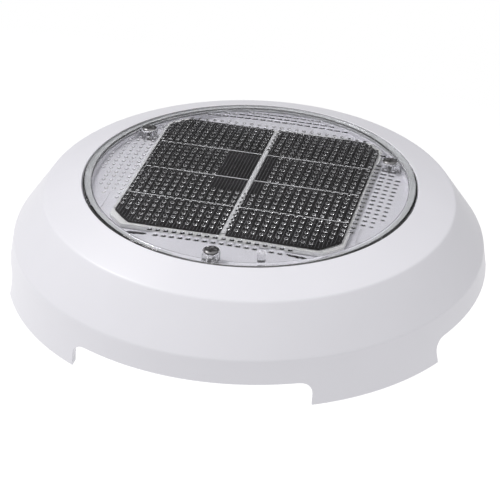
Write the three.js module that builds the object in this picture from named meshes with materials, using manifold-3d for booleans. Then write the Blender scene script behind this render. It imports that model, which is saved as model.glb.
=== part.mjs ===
// Low-profile round solar roof vent: a notched cover with a clear lens over a solar panel, a motor and fan under it,
// a deck ring with a rotary shutter and insect screen, and a twist collar that joins the two.
// Millimetres, +Z up. The origin is the middle of the base plane on which the feet and the gasket stand.

import * as THREE from 'three';
import { mergeVertices } from 'three/addons/utils/BufferGeometryUtils.js';
import Module from 'manifold-3d';

const wasm = await Module();
wasm.setup();

// ---- driving dimensions ----

const GAP = 0.3;

// cover shell, radii and heights of the outer creases, then the lens opening
const FOOT_R = 109.5;
const SKIRT_R = 106.0;
const SKIRT_Z = 20.7;
const SHOULDER_R = 92.0;
const SHOULDER_Z = 40.6;
const OPENING_R = 75.0;
const OPENING_Z = 46.5;
const CREASE_SOFT = 2.2;
const FOOT_WALL = 3.8;
const NOTCH_Z = 10.4;
const NOTCH_HALF_DEG = 28;
const NOTCH_FILLET = 5.5;
const SEAT_Z = 43.0;
const WELL_R = 70.4;
const FLOOR_TOP = 41.0;
const FLOOR_UNDER = 39.0;

// clear lens: a spherical cap on a flat rim
const LENS_R = 74.6;
const LENS_RIM_Z = 46.6;
const LENS_RISE = 4.0;
const LENS_WALL = 2.4;
const LENS_RIM_UNDER = 44.2;
const LENS_RIM_IN = 71.2;
const LENS_SCREW_R = 66.0;
const LENS_SCREW_DEG = [-90, 30, 150];
const LENS_BOSS_R = 4.0;
const LENS_POST_R = 2.0;
const LENS_POST_PCR = 63.4;
const LENS_POST_DEG = -71.5;

// solar panel
const PANEL = 100.0;
const PANEL_CORNER_R = 65.2;
const PANEL_Y = 1.4;
const COLUMN_GAP = 2.8;
const ROW_GAP = 0.8;
const CELL_ROWS = 4;
const CELL_UNDER = 43.4;
const CELL_TOP = 43.9;
const BOARD = 103.0;
const BOARD_CORNER_R = 68.0;
const BOARD_TOP = 43.1;
const RIBBON = 2.0;

// deck ring and the parts in its throat
const THROAT_R = 49.5;
const COLLAR_R = 54.0;
const FLANGE_R = 83.0;
const GASKET_TOP = 1.6;
const FLANGE_UNDER = 1.9;
const FLANGE_TOP = 4.7;
const COLLAR_TOP = 12.0;
const SCREEN_STEP_Z = 9.1;
const SCREEN_STEP_R = 51.5;
const DECK_HOLE_R = 2.2;
const DECK_HOLE_PCR = 74.0;
const DECK_PAD_R = 5.6;
const DECK_PAD_TOP = 5.5;
const HOOK_R = 59.2;
const HOOK_UNDER = 9.9;
const HOOK_DEG = 20;
const SHUTTER_IN = 18.0;
const SHUTTER_OUT = 46.0;
const SHUTTER_OPEN_DEG = 43;
const QUARTERS = [0, 90, 180, 270];

// twist collar and cover legs
const LUG_DEG = 18;
const TWIST_IN = 56.0;
const TWIST_OUT = 64.8;
const TWIST_TOP = 14.8;
const SOCKET_R = 5.8;
const SOCKET_TOP = 17.0;
const LEG_R = 3.4;
const LEG_PCR = 74.0;
const LEG_FOOT_Z = 9.5;
const DIAGONALS = [45, 135, 225, 315];

// motor and fan, all on the vertical axis
const SHAFT_R = 1.0;
const SHAFT_HOLE_R = 1.25;
const FAN_R = 45.0;
const HUB_R = 14.0;
const HUB_UNDER = 14.0;
const HUB_TOP = 23.6;
const BLADES = 5;
const CUP_EAR_DEG = [0, 120, 240];
const CUP_EAR_PCR = 19.5;
const EAR_UNDER = 33.6;
const EAR_TOP = 36.0;

// battery, along X behind the fan
const BATTERY_R = 7.25;
const BATTERY_Y = 66.5;
const BATTERY_Z = 30.0;
const TRAY_HALF_X = 29.5;
const TRAY_EAR_X = 33.5;
const TRAY_EAR_Y = 60.5;

// slide switch
const SWITCH_X = 26.0;
const SWITCH_Y = -57.0;

const LEAD_R = 0.6;
const LEAD_Z = 38.0;

const SEG_LARGE = 48;
const SEG_MEDIUM = 36;
const SEG_SMALL = 16;
const SEG_TINY = 10;

const rad = THREE.MathUtils.degToRad;
const v2 = (x, y) => new THREE.Vector2(x, y);
const v3 = (x, y, z) => new THREE.Vector3(x, y, z);

// ---- closed meshes and booleans ----

function signedVolume(position, index) {
  const a = new THREE.Vector3();
  const b = new THREE.Vector3();
  const c = new THREE.Vector3();
  let total = 0;
  for (let i = 0; i < index.length; i += 3) {
    a.fromBufferAttribute(position, index[i]);
    b.fromBufferAttribute(position, index[i + 1]);
    c.fromBufferAttribute(position, index[i + 2]);
    total += a.dot(b.cross(c)) / 6;
  }
  return total;
}

// Merges shared vertices, drops the slivers that lie on an axis and turns the faces outward.
function closed(source) {
  source.deleteAttribute('normal');
  source.deleteAttribute('uv');
  const merged = mergeVertices(source, 1e-4);
  const old = merged.index.array;
  const kept = [];
  for (let i = 0; i < old.length; i += 3) {
    const [a, b, c] = [old[i], old[i + 1], old[i + 2]];
    if (a !== b && b !== c && c !== a) kept.push(a, b, c);
  }
  if (signedVolume(merged.attributes.position, kept) < 0) kept.reverse();
  merged.setIndex(kept);
  merged.computeVertexNormals();
  return merged;
}

function toSolid(geometry) {
  const mesh = new wasm.Mesh({
    numProp: 3,
    vertProperties: Float32Array.from(geometry.attributes.position.array),
    triVerts: Uint32Array.from(geometry.index.array),
  });
  return new wasm.Manifold(mesh);
}

function toGeometry(solid) {
  const mesh = solid.getMesh();
  const geometry = new THREE.BufferGeometry();
  geometry.setAttribute('position', new THREE.BufferAttribute(Float32Array.from(mesh.vertProperties), 3));
  geometry.setIndex(Array.from(mesh.triVerts));
  geometry.computeVertexNormals();
  return geometry;
}

function combine(first, added, removed) {
  let solid = toSolid(first);
  for (const other of added) solid = solid.add(toSolid(other));
  for (const other of removed) solid = solid.subtract(toSolid(other));
  return toGeometry(solid);
}

const join = (first, ...added) => combine(first, added, []);
const cut = (first, ...removed) => combine(first, [], removed);

// ---- shapes ----

// Revolves [radius, height] points about Z; a profile off the axis is closed on itself.
function turned(profile, segments) {
  const points = profile.map(([r, z]) => v2(r, z));
  const last = profile[profile.length - 1];
  if (profile[0][0] > 0 || last[0] > 0) points.push(points[0].clone());
  return closed(new THREE.LatheGeometry(points, segments).rotateX(Math.PI / 2));
}

const ring = (inner, outer, low, high, segments) =>
  turned([[inner, low], [outer, low], [outer, high], [inner, high]], segments);

const disc = (radius, low, high, segments) =>
  turned([[0, low], [radius, low], [radius, high], [0, high]], segments);

function block(x0, x1, y0, y1, z0, z1) {
  const box = new THREE.BoxGeometry(x1 - x0, y1 - y0, z1 - z0);
  return closed(box.translate((x0 + x1) / 2, (y0 + y1) / 2, (z0 + z1) / 2));
}

function plate(shape, low, high, curveSegments = SEG_TINY) {
  const options = { depth: high - low, bevelEnabled: false, curveSegments };
  return closed(new THREE.ExtrudeGeometry(shape, options).translate(0, 0, low));
}

const moved = (geometry, x, y, z = 0) => geometry.clone().translate(x, y, z);
const spun = (geometry, degrees) => geometry.clone().rotateZ(rad(degrees));
const spunCopies = (geometry, angles) => angles.map((degrees) => spun(geometry, degrees));
const outAt = (geometry, radius, degrees) =>
  moved(geometry, radius * Math.cos(rad(degrees)), radius * Math.sin(rad(degrees)));

function sector(inner, outer, centreDeg, widthDeg) {
  const start = rad(centreDeg - widthDeg / 2);
  const end = rad(centreDeg + widthDeg / 2);
  const shape = new THREE.Shape();
  shape.absarc(0, 0, outer, start, end, false);
  shape.absarc(0, 0, inner, end, start, true);
  return shape;
}

// A crease softened by a short curve between the two straight runs.
function softCorner(before, corner, after, reach, steps) {
  const middle = v2(...corner);
  const towards = (point) => middle.clone().add(v2(...point).sub(middle).setLength(reach));
  const curve = new THREE.QuadraticBezierCurve(towards(before), middle, towards(after));
  return curve.getPoints(steps).map((point) => [point.x, point.y]);
}

// Square of a given width whose corners lie on a circle.
function clippedSquare(width, cornerR) {
  const half = width / 2;
  const edge = Math.sqrt(cornerR * cornerR - half * half);
  const shape = new THREE.Shape();
  shape.moveTo(half, -edge);
  for (let quarter = 0; quarter < 4; quarter += 1) {
    const turn = (quarter * Math.PI) / 2;
    const from = turn + Math.atan2(edge, half);
    shape.absarc(0, 0, cornerR, from, turn + Math.atan2(half, edge), false);
  }
  shape.closePath();
  return shape;
}

function screw(headR, headHeight, shankR, length) {
  return turned([
    [0, -length],
    [shankR * 0.6, -length],
    [shankR, -length + shankR],
    [shankR, 0],
    [headR, 0],
    [headR, headHeight * 0.5],
    [headR * 0.7, headHeight],
    [0, headHeight],
  ], SEG_TINY);
}

function wire(points, radius, steps) {
  const section = new THREE.Shape();
  section.absarc(0, 0, radius, 0, Math.PI * 2, false);
  const path = new THREE.CatmullRomCurve3(points.map((point) => v3(...point)));
  const options = { steps, extrudePath: path, bevelEnabled: false, curveSegments: 3 };
  return closed(new THREE.ExtrudeGeometry(section, options));
}

// ---- cover: shell, seal, lens and its screws ----

function notchCutter() {
  const half = FOOT_R * Math.sin(rad(NOTCH_HALF_DEG));
  const shape = new THREE.Shape();
  shape.moveTo(-half, -5);
  shape.lineTo(half, -5);
  shape.lineTo(half, NOTCH_Z - NOTCH_FILLET);
  shape.absarc(half - NOTCH_FILLET, NOTCH_Z - NOTCH_FILLET, NOTCH_FILLET, 0, Math.PI / 2, false);
  shape.absarc(-half + NOTCH_FILLET, NOTCH_Z - NOTCH_FILLET, NOTCH_FILLET, Math.PI / 2, Math.PI, false);
  shape.closePath();
  const options = { depth: 50, bevelEnabled: false, curveSegments: 5 };
  return closed(new THREE.ExtrudeGeometry(shape, options).rotateX(Math.PI / 2).translate(0, -70, 0));
}

function coverProfile() {
  const foot = [FOOT_R, 0];
  const skirt = [SKIRT_R, SKIRT_Z];
  const shoulder = [SHOULDER_R, SHOULDER_Z];
  const opening = [OPENING_R, OPENING_Z];
  return [
    [0, FLOOR_UNDER],
    [71.0, FLOOR_UNDER],
    [78.0, 41.6],
    [SHOULDER_R - 1.8, SHOULDER_Z - 3.3],
    [SKIRT_R - 3.3, SKIRT_Z - 1.3],
    [FOOT_R - FOOT_WALL, 0],
    foot,
    ...softCorner(foot, skirt, shoulder, CREASE_SOFT, 2),
    ...softCorner(skirt, shoulder, opening, CREASE_SOFT, 2),
    opening,
    [OPENING_R, SEAT_Z],
    [WELL_R, SEAT_Z],
    [WELL_R, FLOOR_TOP],
    [0, FLOOR_TOP],
  ];
}

function coverShell() {
  const leg = disc(LEG_R, LEG_FOOT_Z, 41.5, SEG_TINY);
  const lensBoss = disc(LENS_BOSS_R, EAR_TOP + GAP, 39.5, SEG_TINY);
  const earBoss = disc(3.4, EAR_TOP + GAP, 39.5, SEG_TINY);
  const added = [
    ...DIAGONALS.map((degrees) => outAt(leg, LEG_PCR, degrees)),
    ...LENS_SCREW_DEG.map((degrees) => outAt(lensBoss, LENS_SCREW_R, degrees)),
    ...CUP_EAR_DEG.map((degrees) => outAt(earBoss, CUP_EAR_PCR, degrees)),
    moved(earBoss, TRAY_EAR_X, TRAY_EAR_Y),
    moved(earBoss, -TRAY_EAR_X, TRAY_EAR_Y),
  ];
  const lensHole = disc(1.8, 35.0, 42.0, SEG_TINY);
  const earHole = disc(1.5, 35.5, 40.2, SEG_TINY);
  const removed = [
    ...spunCopies(notchCutter(), QUARTERS),
    ...LENS_SCREW_DEG.map((degrees) => outAt(lensHole, LENS_SCREW_R, degrees)),
    ...CUP_EAR_DEG.map((degrees) => outAt(earHole, CUP_EAR_PCR, degrees)),
    moved(earHole, TRAY_EAR_X, TRAY_EAR_Y),
    moved(earHole, -TRAY_EAR_X, TRAY_EAR_Y),
    block(-6, 6, 37, 42, 38, 42),
  ];
  return combine(turned(coverProfile(), SEG_LARGE), added, removed);
}

const lensTopAt = (r) => LENS_RIM_Z + LENS_RISE * (1 - (r / LENS_R) ** 2);

function domeLens() {
  const radii = [0, 25, 50, LENS_R];
  const top = radii.map((r) => [r, lensTopAt(r)]).reverse();
  const under = radii.slice(0, -1).map((r) => [r, lensTopAt(r) - LENS_WALL]);
  under.push([LENS_RIM_IN, lensTopAt(LENS_RIM_IN) - LENS_WALL]);
  const rim = [[LENS_RIM_IN, LENS_RIM_UNDER], [LENS_R, LENS_RIM_UNDER]];
  const body = turned([...under, ...rim, ...top], SEG_MEDIUM);
  const boss = disc(LENS_BOSS_R, FLOOR_TOP + GAP, 46.5, SEG_SMALL);
  const post = outAt(disc(LENS_POST_R, FLOOR_TOP + GAP, 46.5, SEG_TINY), LENS_POST_PCR, LENS_POST_DEG);
  const hole = disc(1.8, 41.0, 50.0, SEG_TINY);
  const headWell = disc(3.6, 46.6, 50.0, SEG_SMALL);
  const at = (geometry) => LENS_SCREW_DEG.map((degrees) => outAt(geometry, LENS_SCREW_R, degrees));
  return combine(body, [...at(boss), post], [...at(hole), ...at(headWell)]);
}

// ---- solar panel ----

function cell(column, row) {
  const half = PANEL / 2;
  const rowStep = PANEL / CELL_ROWS;
  const x0 = column === 0 ? -half : COLUMN_GAP / 2;
  const x1 = column === 0 ? -COLUMN_GAP / 2 : half;
  const y0 = -half + row * rowStep + (row === 0 ? 0 : ROW_GAP / 2);
  const y1 = -half + (row + 1) * rowStep - (row === CELL_ROWS - 1 ? 0 : ROW_GAP / 2);
  const wafer = plate(clippedSquare(PANEL, PANEL_CORNER_R), CELL_UNDER, CELL_TOP, 4);
  const tile = block(x0, x1, y0, y1, CELL_UNDER - 1, CELL_TOP + 1);
  return toGeometry(toSolid(wafer).intersect(toSolid(tile)));
}

// ---- motor and fan ----

function motorCup() {
  const body = turned([
    [5.2, 25.4],
    [14.4, 25.4],
    [14.4, FLOOR_UNDER - GAP],
    [12.6, FLOOR_UNDER - GAP],
    [12.6, 26.9],
    [5.2, 26.9],
  ], SEG_SMALL);
  const arm = block(13.5, CUP_EAR_PCR, -3.6, 3.6, EAR_UNDER, EAR_TOP);
  const ear = moved(disc(3.6, EAR_UNDER, EAR_TOP, SEG_TINY), CUP_EAR_PCR, 0);
  const hole = moved(disc(1.5, 32.0, 37.0, SEG_TINY), CUP_EAR_PCR, 0);
  const leadSlot = block(-4, 4, -20, 20, 36.8, 40);
  const added = [...spunCopies(arm, CUP_EAR_DEG), ...spunCopies(ear, CUP_EAR_DEG)];
  return combine(body, added, [...spunCopies(hole, CUP_EAR_DEG), leadSlot]);
}

function motorCan() {
  return turned([
    [3.5, 27.2],
    [12.2, 27.2],
    [12.2, 36.3],
    [11.4, 36.3],
    [11.4, 28.2],
    [3.5, 28.2],
  ], SEG_SMALL);
}

function motorEndCap() {
  return turned([[0, 34.9], [11.0, 34.9], [11.0, 36.6], [12.2, 36.6], [12.2, 37.1], [0, 37.1]], SEG_SMALL);
}

function armature() {
  return turned([
    [SHAFT_HOLE_R, 29.9],
    [8.6, 29.9],
    [8.6, 33.4],
    [3.0, 33.4],
    [3.0, 34.3],
    [SHAFT_HOLE_R, 34.3],
  ], SEG_SMALL);
}

// One blade: a cambered strip along +X, pitched steeply at the hub and flatter at the tip.
function fanBlade() {
  const chord = 20;
  const thick = 1.3;
  const camber = 2.2;
  const shape = new THREE.Shape();
  shape.moveTo(-chord / 2, 0);
  shape.quadraticCurveTo(0, camber * 2, chord / 2, 0);
  shape.lineTo(chord / 2, thick * 0.6);
  shape.quadraticCurveTo(0, camber * 2 + thick * 1.6, -chord / 2, thick * 0.6);
  shape.closePath();
  const start = HUB_R - 1.2;
  const options = { depth: FAN_R - start, steps: 4, bevelEnabled: false, curveSegments: 4 };
  const blade = new THREE.ExtrudeGeometry(shape, options);
  blade.rotateY(Math.PI / 2).rotateX(Math.PI / 2).translate(start, 0, 0);
  const position = blade.attributes.position;
  const middle = (HUB_UNDER + HUB_TOP) / 2;
  for (let i = 0; i < position.count; i += 1) {
    const x = position.getX(i);
    const along = (x - start) / (FAN_R - start);
    const pitch = rad(34 - 16 * along);
    const y = position.getY(i) * (0.72 + 0.28 * along);
    const z = position.getZ(i);
    const pitchedY = y * Math.cos(pitch) - z * Math.sin(pitch);
    const pitchedZ = y * Math.sin(pitch) + z * Math.cos(pitch);
    const tipX = Math.min(x, Math.sqrt(FAN_R * FAN_R - pitchedY * pitchedY));
    position.setXYZ(i, tipX, pitchedY, middle + pitchedZ - camber / 2);
  }
  return closed(blade);
}

function fanRotor() {
  const hub = turned([
    [SHAFT_HOLE_R, HUB_UNDER],
    [HUB_R - 1.5, HUB_UNDER],
    [HUB_R, HUB_UNDER + 1.5],
    [HUB_R, HUB_TOP],
    [HUB_R - 1.6, HUB_TOP],
    [HUB_R - 1.6, HUB_UNDER + 1.8],
    [3.4, HUB_UNDER + 1.8],
    [3.4, 22.4],
    [SHAFT_HOLE_R, 22.4],
  ], SEG_SMALL * 2);
  const angles = Array.from({ length: BLADES }, (_, i) => (360 * i) / BLADES);
  const blades = spunCopies(fanBlade(), angles);
  const bladed = blades.reduce((solid, blade) => solid.add(toSolid(blade)), toSolid(hub));
  const inside = toSolid(ring(3.4 + 0.01, HUB_R - 1.6, HUB_UNDER + 1.8, HUB_TOP + 5, SEG_SMALL * 2));
  return toGeometry(bladed.subtract(inside));
}

// ---- battery tray, battery and contacts ----

function batteryTray() {
  const y0 = BATTERY_Y - 9.3;
  const y1 = BATTERY_Y + 9.3;
  const body = block(-TRAY_HALF_X, TRAY_HALF_X, y0, y1, 19.6, FLOOR_UNDER - GAP);
  const flange = block(-TRAY_EAR_X - 3.5, TRAY_EAR_X + 3.5, y0, y0 + 6.5, EAR_UNDER, EAR_TOP);
  const pocket = block(-27.9, 27.9, y0 + 1.6, y1 - 1.6, 15, 37.6);
  const groove = block(-29.3, 40, y0 + 0.8, y1 - 0.8, 20.4, 22.4);
  const doorway = block(27, 40, y0 + 1.6, y1 - 1.6, 15, 22.4);
  const hole = disc(1.5, 32.0, 37.0, SEG_TINY);
  const holes = [moved(hole, TRAY_EAR_X, TRAY_EAR_Y), moved(hole, -TRAY_EAR_X, TRAY_EAR_Y)];
  return combine(body, [flange], [pocket, groove, doorway, ...holes]);
}

function battery() {
  const can = turned([
    [0, -24.5],
    [BATTERY_R - 0.8, -24.5],
    [BATTERY_R, -23.7],
    [BATTERY_R, 24.0],
    [BATTERY_R - 0.8, 24.6],
    [2.7, 24.6],
    [2.7, 26.0],
    [0, 26.0],
  ], SEG_SMALL);
  return can.rotateY(Math.PI / 2).translate(0, BATTERY_Y, BATTERY_Z);
}

class ConeSpring extends THREE.Curve {
  getPoint(t) {
    const turn = t * Math.PI * 2 * 3;
    const coil = 2.6 + 2.4 * t;
    return v3(-25.3 - 2.0 * t, BATTERY_Y + coil * Math.cos(turn), BATTERY_Z + coil * Math.sin(turn));
  }
}

function batterySpring() {
  const section = new THREE.Shape();
  section.absarc(0, 0, 0.28, 0, Math.PI * 2, false);
  const options = { steps: 26, extrudePath: new ConeSpring(), bevelEnabled: false, curveSegments: 3 };
  return closed(new THREE.ExtrudeGeometry(section, options));
}

// ---- slide switch ----

function switchBody() {
  const body = block(SWITCH_X - 10, SWITCH_X + 10, SWITCH_Y - 5.3, SWITCH_Y + 5.3, 29.5, FLOOR_UNDER - GAP);
  const slot = block(SWITCH_X - 4.2, SWITCH_X + 4.2, SWITCH_Y - 1.7, SWITCH_Y + 1.7, 28, 32);
  return cut(body, slot);
}

function switchSlider() {
  const stem = block(SWITCH_X - 3.7, SWITCH_X - 0.5, SWITCH_Y - 1.3, SWITCH_Y + 1.3, 28, 31.5);
  const thumb = block(SWITCH_X - 5, SWITCH_X + 0.8, SWITCH_Y - 2.6, SWITCH_Y + 2.6, 25.2, 29.1);
  return join(thumb, stem);
}

// ---- deck ring, gasket, shutter and screen ----

function deckRing() {
  const body = turned([
    [THROAT_R - 2, FLANGE_UNDER],
    [FLANGE_R, FLANGE_UNDER],
    [FLANGE_R, FLANGE_TOP],
    [COLLAR_R, FLANGE_TOP],
    [COLLAR_R, COLLAR_TOP],
    [SCREEN_STEP_R, COLLAR_TOP],
    [SCREEN_STEP_R, SCREEN_STEP_Z],
    [THROAT_R, SCREEN_STEP_Z],
    [THROAT_R, FLANGE_UNDER + 1.2],
    [THROAT_R - 2, FLANGE_UNDER + 1.2],
  ], SEG_MEDIUM);
  const hook = plate(sector(COLLAR_R - 1, HOOK_R, 0, HOOK_DEG), HOOK_UNDER, COLLAR_TOP, 4);
  const stop = plate(sector(COLLAR_R - 1, HOOK_R, LUG_DEG / 2 + 2.2, 3), FLANGE_TOP - 1, COLLAR_TOP, 2);
  const pad = moved(disc(DECK_PAD_R, FLANGE_TOP - 1, DECK_PAD_TOP, SEG_SMALL), DECK_HOLE_PCR, 0);
  const hole = moved(disc(DECK_HOLE_R, 0, 6, SEG_TINY), DECK_HOLE_PCR, 0);
  const added = [hook, stop, pad].flatMap((feature) => spunCopies(feature, QUARTERS));
  return combine(body, added, spunCopies(hole, QUARTERS));
}

function baseGasket() {
  const hole = moved(disc(DECK_HOLE_R + 0.3, -1, 3, SEG_TINY), DECK_HOLE_PCR, 0);
  return cut(ring(57, 82, 0, GASKET_TOP, SEG_MEDIUM), ...spunCopies(hole, QUARTERS));
}

// A round plate with one sector window in each quarter and a round hole in the middle.
function windowPlate(outer, centreHole, low, high) {
  const shape = new THREE.Shape();
  shape.absarc(0, 0, outer, 0, Math.PI * 2, false);
  for (const degrees of QUARTERS) {
    shape.holes.push(new THREE.Path(sector(SHUTTER_IN, SHUTTER_OUT, degrees, SHUTTER_OPEN_DEG).getPoints(3)));
  }
  const hub = new THREE.Path();
  hub.absarc(0, 0, centreHole, 0, Math.PI * 2, true);
  shape.holes.push(hub);
  return plate(shape, low, high, SEG_TINY * 2);
}

function shutterKnob() {
  const flange = disc(12.8, 3.6, 5.1, SEG_SMALL);
  const grip = block(-10, 10, -2, 2, 0.6, 4.0);
  const hole = disc(1.5, 1.9, 6, SEG_TINY);
  return combine(flange, [grip], [hole]);
}

function insectScreen() {
  const pitch = 10;
  const window = 8.2;
  const reach = THROAT_R - 1.5;
  const half = window / 2;
  const windows = [];
  for (let x = -5 * pitch; x <= 5 * pitch; x += pitch) {
    for (let y = -5 * pitch; y <= 5 * pitch; y += pitch) {
      const inside = Math.hypot(Math.abs(x) + half, Math.abs(y) + half) < reach;
      if (inside) windows.push(block(x - half, x + half, y - half, y + half, 9, 11));
    }
  }
  return cut(disc(SCREEN_STEP_R - 0.4, 9.4, 10.0, SEG_MEDIUM), ...windows);
}

// ---- twist collar: bayonet ring with a leg socket on each diagonal arm ----

function twistCollar() {
  const body = turned([
    [TWIST_IN, COLLAR_TOP + 0.6],
    [TWIST_OUT - 2.2, COLLAR_TOP + 0.6],
    [TWIST_OUT - 2.2, 5.0],
    [TWIST_OUT, 5.0],
    [TWIST_OUT, TWIST_TOP],
    [TWIST_IN, TWIST_TOP],
  ], SEG_MEDIUM);
  const lug = plate(sector(COLLAR_R + 0.6, TWIST_OUT - 1.3, 0, LUG_DEG), 7.2, 9.4, 4);
  const arm = block(TWIST_OUT - 1, LEG_PCR, -SOCKET_R, SOCKET_R, 6.0, 8.4);
  const socket = moved(disc(SOCKET_R, 6.0, SOCKET_TOP, SEG_SMALL), LEG_PCR, 0);
  const socketHole = moved(disc(LEG_R + 0.4, 8.4, SOCKET_TOP + 1, SEG_TINY), LEG_PCR, 0);
  const added = [...spunCopies(lug, QUARTERS), ...spunCopies(arm, DIAGONALS), ...spunCopies(socket, DIAGONALS)];
  return combine(body, added, spunCopies(socketHole, DIAGONALS));
}

// ---- assembly ----

const LOOKS = {
  white: [0xf2f3f5, 0.35, 0],
  clear: [0xdfe6ea, 0.08, 0],
  black: [0x17181a, 0.6, 0],
  seal: [0xc8cacd, 0.6, 0],
  cell: [0x23232b, 0.3, 0.1],
  board: [0xf4f4f2, 0.6, 0],
  tin: [0xc9ccd0, 0.3, 1],
  steel: [0x9a9da1, 0.35, 1],
  darkSteel: [0x4a4c50, 0.4, 1],
  copper: [0xb4713c, 0.4, 1],
  brass: [0xb08d4c, 0.35, 1],
  grey: [0x8d9196, 0.5, 0],
  sleeve: [0x3f7d4e, 0.4, 0],
  red: [0xa32420, 0.5, 0],
};

const model = new THREE.Group();

function piece(name, geometry, look) {
  const [color, roughness, metalness] = LOOKS[look];
  const mesh = new THREE.Mesh(geometry, new THREE.MeshStandardMaterial({ color, roughness, metalness }));
  mesh.name = name;
  model.add(mesh);
  return mesh;
}

function placedScrew(name, geometry, x, y, z, look, upsideDown) {
  const mesh = piece(name, geometry, look);
  mesh.position.set(x, y, z);
  if (upsideDown) mesh.rotation.x = Math.PI;
}

function addCover() {
  piece('cover_shell', coverShell(), 'white');
  piece('lens_seal', ring(WELL_R + 0.6, LENS_R - 0.1, SEAT_Z + GAP, LENS_RIM_UNDER - GAP, SEG_MEDIUM), 'seal');
  piece('dome_lens', domeLens(), 'clear');
  LENS_SCREW_DEG.forEach((degrees, i) => {
    const [x, y] = [LENS_SCREW_R * Math.cos(rad(degrees)), LENS_SCREW_R * Math.sin(rad(degrees))];
    placedScrew(`lens_screw_${i + 1}`, screw(3.3, 1.5, 1.4, 9.4), x, y, 46.9, 'darkSteel', false);
  });
}

function addPanel() {
  const board = plate(clippedSquare(BOARD, BOARD_CORNER_R), FLOOR_TOP + GAP, BOARD_TOP, 4);
  const ribbon = block(-RIBBON / 2, RIBBON / 2, -48, 48, CELL_UNDER, CELL_UNDER + 0.3);
  piece('panel_board', moved(board, 0, PANEL_Y), 'board');
  for (let column = 0; column < 2; column += 1) {
    for (let row = 0; row < CELL_ROWS; row += 1) {
      piece(`solar_cell_${column * CELL_ROWS + row + 1}`, moved(cell(column, row), 0, PANEL_Y), 'cell');
    }
  }
  piece('center_ribbon', moved(ribbon, 0, PANEL_Y), 'tin');
}

function addMotor() {
  piece('motor_cup', motorCup(), 'white');
  piece('motor_can', motorCan(), 'steel');
  piece('motor_end_cap', motorEndCap(), 'black');
  piece('motor_magnet', ring(9.2, 11.1, 28.6, 34.4, SEG_SMALL), 'darkSteel');
  piece('motor_bush', ring(SHAFT_HOLE_R, 3.2, 25.0, 29.5, SEG_TINY), 'brass');
  CUP_EAR_DEG.forEach((degrees, i) => {
    const [x, y] = [CUP_EAR_PCR * Math.cos(rad(degrees)), CUP_EAR_PCR * Math.sin(rad(degrees))];
    placedScrew(`motor_screw_${i + 1}`, screw(2.8, 1.5, 1.2, 6.2), x, y, EAR_UNDER - GAP, 'steel', true);
  });
}

function addRotor() {
  piece('fan_rotor', fanRotor(), 'grey');
  piece('motor_shaft', disc(SHAFT_R, 12.6, 34.5, SEG_TINY), 'steel');
  piece('armature', armature(), 'copper');
  piece('fan_clip', ring(SHAFT_HOLE_R, 3.0, 12.5, 13.7, SEG_TINY), 'steel');
}

function addBattery() {
  piece('battery_tray', batteryTray(), 'white');
  piece('battery', battery(), 'sleeve');
  piece('battery_spring', batterySpring(), 'steel');
  piece('battery_contact', block(26.3, 27.0, BATTERY_Y - 5, BATTERY_Y + 5, BATTERY_Z - 5, BATTERY_Z + 5), 'tin');
  piece('battery_door', block(-28.9, 29.4, BATTERY_Y - 8.2, BATTERY_Y + 8.2, 20.7, 22.1), 'white');
  [1, -1].forEach((side, i) => {
    const [x, y] = [side * TRAY_EAR_X, TRAY_EAR_Y];
    placedScrew(`tray_screw_${i + 1}`, screw(2.8, 1.5, 1.2, 6.2), x, y, EAR_UNDER - GAP, 'steel', true);
  });
}

function addSwitch() {
  piece('switch_body', switchBody(), 'black');
  piece('switch_slider', switchSlider(), 'red');
}

function addLeads() {
  const trayFace = BATTERY_Y - 9.3 - GAP;
  const switchFace = SWITCH_Y + 5.3 + GAP;
  for (const [side, look, word] of [[1, 'red', 'red'], [-1, 'black', 'black']]) {
    piece(`motor_lead_${word}`, wire([
      [side * 1.8, -8, LEAD_Z],
      [side * 1.8, -15, LEAD_Z],
      [10 + side * 2, -34, LEAD_Z],
      [SWITCH_X + side * 3, switchFace, LEAD_Z],
    ], LEAD_R, 9), look);
    piece(`battery_lead_${word}`, wire([
      [side * 1.8, 8, LEAD_Z],
      [side * 1.8, 15, LEAD_Z],
      [side * 8, 36, LEAD_Z],
      [side * 14, trayFace, LEAD_Z],
    ], LEAD_R, 9), look);
    piece(`panel_lead_${word}`, wire([
      [side * 3, 38.2, FLOOR_TOP],
      [side * 3, 38.4, FLOOR_UNDER + 0.8],
      [side * 3, 40.8, LEAD_Z],
      [side * 3.5, 46, LEAD_Z],
      [side * 6, trayFace, LEAD_Z],
    ], LEAD_R, 12), look);
  }
}

function addDeck() {
  piece('deck_ring', deckRing(), 'white');
  piece('base_gasket', baseGasket(), 'black');
  piece('throat_plate', windowPlate(THROAT_R - GAP, 13.5, 3.4, 5.1), 'white');
  piece('insect_screen', insectScreen(), 'steel');
  piece('screen_ring', ring(48.2, SCREEN_STEP_R - GAP, 10.3, COLLAR_TOP - 0.2, SEG_MEDIUM), 'white');
  piece('shutter_disc', windowPlate(47.0, 1.5, 5.4, 7.0), 'white');
  piece('shutter_knob', shutterKnob(), 'white');
  placedScrew('knob_screw', screw(3.2, 1.5, 1.2, 5.0), 0, 0, 7.3, 'steel', false);
  piece('twist_collar', twistCollar(), 'white');
}

addDeck();
addCover();
addPanel();
addMotor();
addRotor();
addBattery();
addSwitch();
addLeads();

export default model;
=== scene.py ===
"""Looks of the round solar roof vent: moulded cover, bumpy clear lens, solar cells and what is below."""

import math

import bmesh
import bpy
from mathutils import Matrix, Vector


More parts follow.
